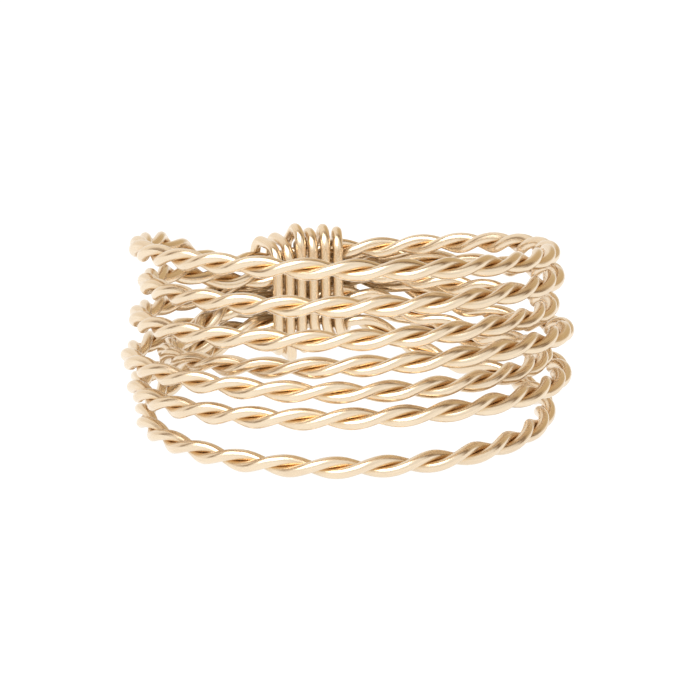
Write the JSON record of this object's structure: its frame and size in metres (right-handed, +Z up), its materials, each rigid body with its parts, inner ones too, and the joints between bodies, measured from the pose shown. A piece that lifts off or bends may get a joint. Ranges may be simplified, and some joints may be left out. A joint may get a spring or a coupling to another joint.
{
  "type": "finger ring",
  "caption": "Finger ring of a twisted wire strand coiled into many turns, fanned out at the front and bound together with wire at the back.",
  "frame": {"origin": "on the finger axis, level with the surface that the ring rests on", "axes": "+Z up along the finger axis from the flat lowest turn to the highest, +Y from the fanned front to the bound back, +X to the right seen from the front"},
  "size_m": [0.0202, 0.0206, 0.0096],
  "materials": {
    "strand_wire": "satin pale gold",
    "binding_wire": "satin pale gold"
  },
  "bodies": {
    "root": {"turn_1": "strand_wire", "turn_2": "strand_wire", "turn_3": "strand_wire", "turn_4": "strand_wire", "turn_5": "strand_wire", "turn_6": "strand_wire", "turn_7": "strand_wire", "binding_wrap": "binding_wire"}
  },
  "joints": []
}
